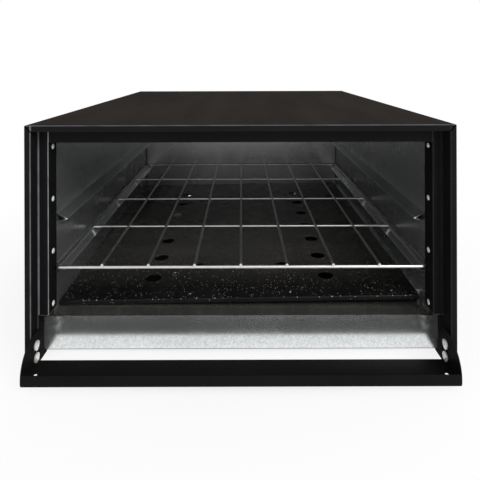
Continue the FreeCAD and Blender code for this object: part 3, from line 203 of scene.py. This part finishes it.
def black_paint(name, tone, roughness, edges=(), roof=None, foot=None):
    """Satin stoving paint with a fine orange peel, faint lighter streaks and lighter bends, both
    painted highlights.

    Above the roof's level the colour turns lighter and brown, a painted reflection of the room
    above;
    the flanks carry dust with a painted sheen, and below the foot the cut edge has rusted.
    """
    gloss = {"Specular_IOR_Level": 0.0, "Coat_Weight": 0.06, "Coat_Roughness": roughness}
    s = Shader(name, (tone,) * 3, 0.0, 0.6, **gloss)

    def times(*factors):
        return tuple(tone * factor for factor in factors)

    colour = s.ramp(s.noise(9, 5), [(0.3, times(0.85, 0.85, 0.85)), (0.7, times(1.15, 1.13, 1.1))])
    if roof is not None:
        # The flanks: lighter mottling, partly dust and partly a painted sheen.
        dust_and_sheen = [(0.35, times(0.8, 0.8, 0.8)), (0.75, times(2.0, 1.95, 1.85))]
        flank = s.maths("GREATER_THAN", s.maths("ABSOLUTE", s.axis("X")), HALF_WIDTH - 0.0004)
        colour = s.mix(flank, colour, s.ramp(s.noise(4, 6, 0.62, (1, 1, 0.4)), dust_and_sheen))
        # The roof's top face: lighter and brown, a painted reflection of the room above.
        painted_roof_reflection = [(0.3, times(0.9, 0.7, 0.55)), (0.72, times(2.0, 1.5, 1.1))]
        above = s.maths("GREATER_THAN", s.axis("Z"), roof - 0.0012)
        colour = s.mix(above, colour, s.ramp(s.noise(5, 3, 0.5, (3, 0.5, 1)), painted_roof_reflection))
    # Lighter streaks running front to back: painted soft highlights.
    painted_streak_highlights = s.ramp(s.noise(40, 2, 0.5, (14, 1, 14)), [(0.7, 0.0), (0.76, 0.3)])
    colour = s.mix(painted_streak_highlights, colour, times(3, 2.8, 2.6))
    # Light lines along the bends: painted highlights, bluish and patchy.
    for *line, highlight_shade in edges:
        patchy = s.ramp(s.noise(35, 4, 0.6), [(0.3, 0.55), (0.6, 1.0)])
        mask = s.maths("MULTIPLY", s.near_line(*line), patchy)
        colour = s.mix(mask, colour, (highlight_shade * 0.97, highlight_shade, highlight_shade * 1.14))
    if roof is not None:  # the dark mitre line at the top corners of the front flange
        across = s.maths("SUBTRACT", s.maths("ABSOLUTE", s.axis("X")), s.axis("Z"))
        diagonal = s.maths("ABSOLUTE", s.maths("SUBTRACT", across, HALF_WIDTH - ROOF))
        corner = s.maths("LESS_THAN", diagonal, 0.0014)
        front = s.maths("LESS_THAN", s.axis("Y"), FRONT + 0.0006)
        colour = s.mix(s.maths("MULTIPLY", corner, front), colour, (0.0008, 0.0008, 0.0008))
    if foot is not None:
        rusty = [(0.35, (0.03, 0.02, 0.012)), (0.65, (0.34, 0.26, 0.16))]
        rust = s.ramp(s.noise(300, 4, 0.6), rusty)
        colour = s.mix(s.maths("LESS_THAN", s.axis("Z"), foot), colour, rust)
    s.finish(colour)
    s.bump(s.noise(900, 2), 0.05, 0.0003)
    return s.material


def zinc(
    name,
    tone,
    roughness,
    spangle,
    contrast,
    metallic=1.0,
    rolled=None,
    cloudy=0.08,
    lines=(),
    darker_above=None,
    far_back=None,
):
    """Zinc-coated sheet: faint crystal spangles, soft cloudy patches and a slight waviness.

    Rolled sheet has a grain along one axis. Above a given level it is darker and slightly browner,
    and behind a given place it is darker.
    """
    s = Shader(name, (tone * 0.97, tone, tone), metallic, roughness)
    crystals = s.grey(s.cells(spangle, "Color"))
    low, high = tone * (1 - contrast), tone * (1 + contrast)
    stops = [(0.15, (low * 0.97, low, low)), (0.85, (high * 0.97, high, high))]
    cloud = s.ramp(s.noise(7, 5, 0.6), [(0.3, 1 - cloudy), (0.7, 1 + cloudy)])
    colour = s.mix(1.0, s.ramp(crystals, stops), cloud, "MULTIPLY")
    for *line, shade in lines:
        colour = s.mix(s.near_line(*line), colour, (shade, shade, shade))
    # Darker behind the given place.
    if far_back is not None:
        warm = s.ramp(s.noise(6, 4, 0.5), [(0.3, (0.6, 0.59, 0.58)), (0.7, (0.7, 0.69, 0.68))])
        behind = s.maths("GREATER_THAN", s.axis("Y"), far_back)
        colour = s.mix(behind, colour, s.mix(1.0, colour, warm, "MULTIPLY"))
    # Darker and slightly browner above the given level.
    if darker_above is not None:
        darkening = s.ramp(s.noise(25, 4), [(0.3, (0.26, 0.26, 0.235)), (0.7, (0.36, 0.35, 0.31))])
        above = s.maths("GREATER_THAN", s.axis("Z"), darker_above)
        colour = s.mix(above, colour, s.mix(1.0, colour, darkening, "MULTIPLY"))
    s.finish(colour)
    rough = s.ramp(s.noise(12, 4, 0.5), [(0.3, roughness - 0.02), (0.72, roughness + 0.03)])
    s.join(rough, s.body.inputs["Roughness"])
    if rolled:
        s.bump(s.noise(60, 3, 0.5, rolled), 0.08, 0.0004)
    else:
        s.bump(s.noise(9, 2, 0.4), 0.06, 0.0006)
    return s.material


def enamel():
    """Black vitreous enamel with pale specks of three sizes, denser towards the front."""
    s = Shader("floor_enamel", (0.012, 0.011, 0.012), 0.0, 0.2, Specular_IOR_Level=0.12)
    fade = s.along("Y", FRONT + 0.06, FRONT + 0.42, 1.0, 0.7)
    specks = None
    for scale, size, gate in ((420, 0.26, 0.7), (230, 0.15, 0.79), (90, 0.15, 0.84)):
        near = s.ramp(s.cells(scale), [(size * 0.5, 1.0), (size, 0.0)])
        pick = s.grey(s.cells(scale, "Color"))
        chosen = s.maths("GREATER_THAN", s.maths("MULTIPLY", pick, fade), gate)
        layer = s.maths("MULTIPLY", near, chosen)
        specks = layer if specks is None else s.maths("MAXIMUM", specks, layer)
    # Darker near the front, lighter grey towards the back.
    front_colours = s.ramp(s.noise(14, 5), [(0.3, (0.005, 0.005, 0.005)), (0.7, (0.010, 0.009, 0.009))])
    far_back = s.ramp(s.noise(11, 5), [(0.3, (0.085, 0.085, 0.080)), (0.7, (0.125, 0.12, 0.11))])
    coat = s.mix(s.along("Y", FRONT + 0.09, FRONT + 0.30), front_colours, far_back)
    s.finish(s.mix(specks, coat, (0.95, 0.92, 0.85)))
    s.join(s.ramp(s.noise(18, 4), [(0.3, 0.24), (0.75, 0.32)]), s.body.inputs["Roughness"])
    s.bump(s.noise(45, 3), 0.03, 0.0006)
    return s.material


def plated(name, tone, roughness, tint=(1, 0.985, 0.96), metallic=1.0):
    """Bright plated wire or screws, with small dull and bright patches."""
    s = Shader(name, tuple(tone * t for t in tint), metallic, roughness)
    dull, bright = (tuple(tone * factor * t for t in tint) for factor in (0.9, 1.03))
    stops = [(0.3, dull), (0.65, bright)]
    s.finish(s.ramp(s.noise(130, 4, 0.6), stops))
    rough = s.ramp(s.noise(60, 3), [(0.3, roughness * 0.9), (0.7, roughness * 1.15)])
    s.join(rough, s.body.inputs["Roughness"])
    s.bump(s.noise(700, 2), 0.05, 0.0003)
    return s.material


def turned_brass():
    s = Shader("gas_brass", (0.6, 0.42, 0.17), 1.0, 0.3)
    stain = s.ramp(s.noise(55, 5, 0.6), [(0.3, (0.42, 0.27, 0.1)), (0.7, (0.68, 0.49, 0.22))])
    s.finish(stain)
    s.bump(s.noise(500, 2, 0.5, (1, 9, 1)), 0.12, 0.0003)
    return s.material


def cast_iron():
    s = Shader("mixer_iron", (0.06, 0.058, 0.055), 0.6, 0.6)
    stops = [(0.3, (0.04, 0.038, 0.036)), (0.7, (0.1, 0.085, 0.07))]
    s.finish(s.ramp(s.noise(90, 5), stops))
    s.bump(s.noise(380, 4), 0.5, 0.0008)
    return s.material


def wool():
    s = Shader("wool", (0.5, 0.44, 0.3), 0.0, 0.95)
    fibres = s.noise(160, 6, 0.7, (1, 1, 6))
    s.finish(s.ramp(fibres, [(0.3, (0.33, 0.28, 0.17)), (0.7, (0.66, 0.6, 0.46))]))
    s.bump(fibres, 0.8, 0.003)
    return s.material


# Lines drawn on the finishes: two axes with the line's place on each, its width and its lightness
# Light lines at the case's bends and the roof's front edge: painted highlights, bright on the left
# and faint on the right.
CASE_EDGE_HIGHLIGHTS = [
    ("Y", FRONT + 0.0004, "Z", ROOF - 0.0004, 0.0011, 0.10),
    ("X", -0.2912, "Y", FRONT, 0.0014, 0.16),
    ("X", 0.2912, "Y", FRONT, 0.0016, 0.02),
    ("X", -0.2912, "Y", FRAME_PLANE - 0.001, 0.0014, 0.10),
]
# Light lines at the jamb's bends: painted highlights, bright on the left and faint on the right.
JAMB_EDGE_HIGHLIGHTS = [
    ("X", -0.2905, "Y", FRAME_PLANE, 0.0018, 0.24),
    ("X", 0.2890, "Y", FRAME_PLANE, 0.0040, 0.016),
    ("X", -0.2762, "Y", FRAME_PLANE, 0.0010, 0.34),
    ("X", 0.2762, "Y", FRAME_PLANE, 0.0012, 0.03),
]
SEAMS = [
    ("both X", CAVITY, "Y", CAVITY_BACK, 0.0022, 0.03),
    ("both X", CAVITY, "Z", CAVITY_ROOF, 0.002, 0.05),
]
# Light lines along the rails' edges: painted highlights.
RAIL_EDGE_HIGHLIGHTS = [
    ("both X", 0.261, "Z", 0.197, 0.0026, 1.0),
    ("both X", 0.261, "Z", 0.123, 0.0026, 1.0),
    ("both X", CAVITY, "Z", 0.206, 0.0022, 1.0),
    ("both X", CAVITY, "Z", 0.132, 0.0022, 1.0),
]
APRON_FOOT = [("Z", 0.008, "Y", FRONT + 0.04, 0.0016, 0.05)]
FINISHES = {
    "case_paint": black_paint("case_paint", 0.0095, 0.36, CASE_EDGE_HIGHLIGHTS, ROOF),
    "jamb_paint": black_paint("jamb_paint", 0.009, 0.3, JAMB_EDGE_HIGHLIGHTS, foot=JAMB_FOOT),
    "flap_paint": black_paint("flap_paint", 0.0085, 0.34),
    "lever_paint": plated("lever_paint", 0.5, 0.4, (1, 0.72, 0.06)),
    "floor_enamel": enamel(),
    "liner_zinc": zinc(
        "liner_zinc", 0.38, 0.27, 55, 0.03, 0.82, cloudy=0.04, lines=SEAMS, far_back=CAVITY_BACK - 0.002
    ),
    "apron_zinc": zinc(
        "apron_zinc", 0.85, 0.2, 420, 0.09, 0.9, cloudy=0.04, lines=APRON_FOOT, darker_above=APRON_TOP
    ),
    "rail_zinc": zinc("rail_zinc", 0.72, 0.2, 90, 0.02, 0.9, cloudy=0.03, lines=RAIL_EDGE_HIGHLIGHTS),
    "back_zinc": zinc("back_zinc", 0.5, 0.36, 80, 0.09),
    "screw_zinc": plated("screw_zinc", 0.95, 0.3, metallic=0.4),
    "rivet_steel": plated("rivet_steel", 1.0, 0.35, metallic=0.2),
    "rack_plate": plated("rack_plate", 0.7, 0.36),
    "burner_steel": zinc("burner_steel", 0.4, 0.42, 120, 0.1, rolled=(1, 12, 1)),
    "mixer_iron": cast_iron(),
    "gas_brass": turned_brass(),
    "pipe_steel": zinc("pipe_steel", 0.3, 0.45, 150, 0.08, rolled=(10, 1, 1)),
    "wool": wool(),
}
for part in frame["record"]["subparts"]:
    thing = NODES[part["node"]]
    for index in range(max(len(thing.material_slots), 1)):
        if not thing.material_slots:
            thing.data.materials.append(None)
        thing.material_slots[index].link = "OBJECT"
        thing.material_slots[index].material = FINISHES[part["material_slot"]]


# Details finer than the construction: recesses in the screw heads and weld beads on the rack

BODIES = frame["record"]["behaviour"]["bodies"]
BODY = {node: body for body, nodes in BODIES.items() for node in nodes}
SLOT = {part["node"]: part["material_slot"] for part in frame["record"]["subparts"]}


def add_mesh(name, corners, faces):
    mesh = bpy.data.meshes.new(name)
    mesh.from_pydata(corners, [], faces)
    thing = bpy.data.objects.new(name, mesh)
    bpy.context.scene.collection.objects.link(thing)
    return thing


def dress(thing, node):
    """Gives the piece the finish and the movement of a node, with its sharp edges kept sharp."""
    thing.data.materials.clear()
    thing.data.materials.append(FINISHES[SLOT[node]])
    thing.data.polygons.foreach_set("use_smooth", [True] * len(thing.data.polygons))
    thing.data.set_sharp_from_angle(angle=math.radians(32))
    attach(thing, BODY[node])


def cross(head, outward, arm, half_width, depth):
    """A tapered cross that stands in a screw head, as corners and faces."""
    out = Vector(outward)
    side = Vector((0, 0, 1)).cross(out)
    side = (side + Vector((0, 0, 1))).normalized()
    up = out.cross(side)
    corners = []
    for height, scale in ((0.0006, 1.15), (-depth, 0.5)):
        for turn in range(4):
            along = (side, up, -side, -up)[turn]
            across = (up, -side, -up, side)[turn]
            for a, b in ((arm, -half_width), (arm, half_width), (half_width, half_width)):
                corners.append(Vector(head) + out * height + (along * a + across * b) * scale)
    faces = [tuple(range(12)), tuple(range(23, 11, -1))]
    faces += [(k, 12 + k, 12 + (k + 1) % 12, (k + 1) % 12) for k in range(12)]
    return corners, faces


def recess(node, heads, outward, arm, half_width, depth):
    """The node's screws with a cross recess in each head."""
    corners, faces = [], []
    for head in heads:
        more, sides = cross(head, outward, arm, half_width, depth)
        faces += [tuple(k + len(corners) for k in face) for face in sides]
        corners += more
    cutter = add_mesh("cutter", corners, faces)
    cad = NODES[node].data
    outline = [tuple(face.vertices) for face in cad.polygons]
    screws = add_mesh(node + "_recessed", [v.co for v in cad.vertices], outline)
    for mesh in (cutter.data, screws.data):
        edit = bmesh.new()
        edit.from_mesh(mesh)
        bmesh.ops.remove_doubles(edit, verts=edit.verts, dist=1e-6)
        bmesh.ops.recalc_face_normals(edit, faces=edit.faces)
        edit.to_mesh(mesh)
        edit.free()
    cut = screws.modifiers.new("recess", "BOOLEAN")
    cut.operation = "DIFFERENCE"
    cut.solver = "EXACT"
    cut.object = cutter
    result = screws.evaluated_get(bpy.context.evaluated_depsgraph_get())
    done = bpy.data.meshes.new_from_object(result)
    screws.modifiers.clear()
    screws.data = done
    bpy.data.objects.remove(cutter)
    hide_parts(node)
    dress(screws, node)


def solids_of(node):
    """The boxes of the separate solids of a node, from its vertices that touch by their faces."""
    mesh = bmesh.new()
    mesh.from_mesh(NODES[node].data)
    bmesh.ops.remove_doubles(mesh, verts=mesh.verts, dist=1e-6)
    left = set(mesh.verts)
    boxes = []
    while left:
        group, queue = [], [left.pop()]
        while queue:
            here = queue.pop()
            group.append(here.co.copy())
            for edge in here.link_edges:
                other = edge.other_vert(here)
                if other in left:
                    left.discard(other)
                    queue.append(other)
        boxes.append([[f(v[k] for v in group) for k in range(3)] for f in (min, max)])
    mesh.free()
    return sorted(boxes)


def centre(box):
    return [(low + high) / 2 for low, high in zip(*box)]


# The arm's length, half its width and the depth of the recess
FLAP_RECESS = (0.0031, 0.0006, 0.0019)
BACK_RECESS = (0.002, 0.00042, 0.0014)
for side, inward in (("left", 1), ("right", -1)):
    for node in (f"flap_pivot_{side}", f"flap_stop_{side}"):
        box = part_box(node)
        _, y, z = centre(box)
        face = box[1][0] if inward > 0 else box[0][0]
        recess(node, [(face, y, z)], (inward, 0, 0), *FLAP_RECESS)
for node in ("back_screws", "cowl_screws"):
    heads = [(centre(box)[0], box[1][1], centre(box)[2]) for box in solids_of(node)]
    recess(node, heads, (0, 1, 0), *BACK_RECESS)


def bead(place, radii, chance):
    """A small uneven drop of weld metal, as corners and faces."""
    rings, steps = 5, 10
    corners = [Vector(place) + Vector((0, 0, radii[2]))]
    for ring in range(1, rings):
        tilt = math.pi * ring / rings
        for step in range(steps):
            turn = math.tau * step / steps
            swell = 1 + chance.uniform(-0.12, 0.12)
            wide = math.sin(tilt)
            spot = (wide * math.cos(turn), wide * math.sin(turn), math.cos(tilt))
            corners.append(Vector(place) + Vector([swell * r * s for r, s in zip(radii, spot)]))
    corners.append(Vector(place) - Vector((0, 0, radii[2])))
    faces = [(0, 1 + k, 1 + (k + 1) % steps) for k in range(steps)]
    for ring in range(rings - 2):
        low = 1 + ring * steps
        for k in range(steps):
            n = (k + 1) % steps
            faces.append((low + k, low + steps + k, low + steps + n, low + n))
    last = len(corners) - 1
    faces += [(last, last - steps + (k + 1) % steps, last - steps + k) for k in range(steps)]
    return corners, faces


# Weld beads: under each lengthwise wire where it crosses another, and at the cross wires' ends
chance = random.Random(7)
CROSSING_BEAD = (0.0026, 0.0026, 0.0011)
END_BEAD = (0.0011, 0.0026, 0.0023)
FRAME_WIRE = 0.0023  # half the thickness of the frame wire
long_wires = [centre(box) for box in solids_of("rack_long_wires")]
cross_wires = [centre(box) for box in solids_of("rack_cross_wires")]
low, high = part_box("rack_frame")
crossings = [y for _, y, _ in cross_wires] + [low[1] + FRAME_WIRE, high[1] - FRAME_WIRE]
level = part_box("rack_long_wires")[0][2] + 0.0001
spots = [((x, y, level), CROSSING_BEAD) for x, _, _ in long_wires for y in crossings]
for _, y, z in cross_wires:
    for end in (low[0] + 2 * FRAME_WIRE, high[0] - 2 * FRAME_WIRE):
        spots.append(((end, y, z), END_BEAD))
corners, faces = [], []
for place, radii in spots:
    more, sides = bead(place, radii, chance)
    faces += [tuple(k + len(corners) for k in face) for face in sides]
    corners += more
beads = add_mesh("rack_weld_beads", corners, faces)
dress(beads, "rack_frame")


# Ground, light and background


def lamp(name, place, target, size, power):
    data = bpy.data.lights.new(name, "AREA")
    data.shape = "RECTANGLE"
    data.size, data.size_y = size
    data.energy = power
    thing = bpy.data.objects.new(name, data)
    thing.location = place
    thing.rotation_euler = (Vector(target) - Vector(place)).to_track_quat("-Z", "Y").to_euler()
    bpy.context.scene.collection.objects.link(thing)


def background_rays(nodes, links):
    """1 for the rays that see the background: from the camera, off gloss and through glass."""
    path = nodes.new("ShaderNodeLightPath")
    total = path.outputs["Is Camera Ray"]
    for name in ("Is Glossy Ray", "Is Transmission Ray"):
        node = nodes.new("ShaderNodeMath")
        node.operation = "ADD"
        node.use_clamp = True
        links.new(total, node.inputs[0])
        links.new(path.outputs[name], node.inputs[1])
        total = node.outputs[0]
    return total


reach = 30.0
corners = [(-reach, -reach, 0), (reach, -reach, 0), (reach, reach, 0), (-reach, reach, 0)]
ground = add_mesh("ground", corners, [(0, 1, 2, 3)])
g = Shader("ground", (0.95, 0.95, 0.95), 0.0, 0.9)
g.join(g.ramp(g.noise(3, 2), [(0.3, 0.94), (0.7, 0.96)]), g.body.inputs["Base Color"])
# Away from the oven the ground turns into the white of the background.
length = g.nodes.new("ShaderNodeVectorMath")
length.operation = "LENGTH"
g.join(g.place, length.inputs[0])
away = g.ramp(length.outputs["Value"], [(0.3, 0.75), (0.5, 0.9), (0.8, 1.0)])
white = g.nodes.new("ShaderNodeEmission")
blend = g.nodes.new("ShaderNodeMixShader")
g.join(g.maths("MULTIPLY", away, background_rays(g.nodes, g.links)), blend.inputs[0])
g.join(g.body.outputs[0], blend.inputs[1])
g.join(white.outputs[0], blend.inputs[2])
g.join(blend.outputs[0], g.nodes["Material Output"].inputs["Surface"])
ground.data.materials.append(g.material)

world = bpy.data.worlds.new("studio")
world.use_nodes = True
bpy.context.scene.world = world
tree = world.node_tree
seen = tree.nodes["Background"]
seen.inputs["Color"].default_value = (1, 1, 1, 1)
level = tree.nodes.new("ShaderNodeMapRange")
level.inputs["To Min"].default_value = 0.72
level.inputs["To Max"].default_value = 1.0
tree.links.new(background_rays(tree.nodes, tree.links), level.inputs["Value"])
tree.links.new(level.outputs[0], seen.inputs["Strength"])
lamp("key", (1.3, -1.7, 1.7), (0, 0, 0.1), (1.4, 1.0), 30)
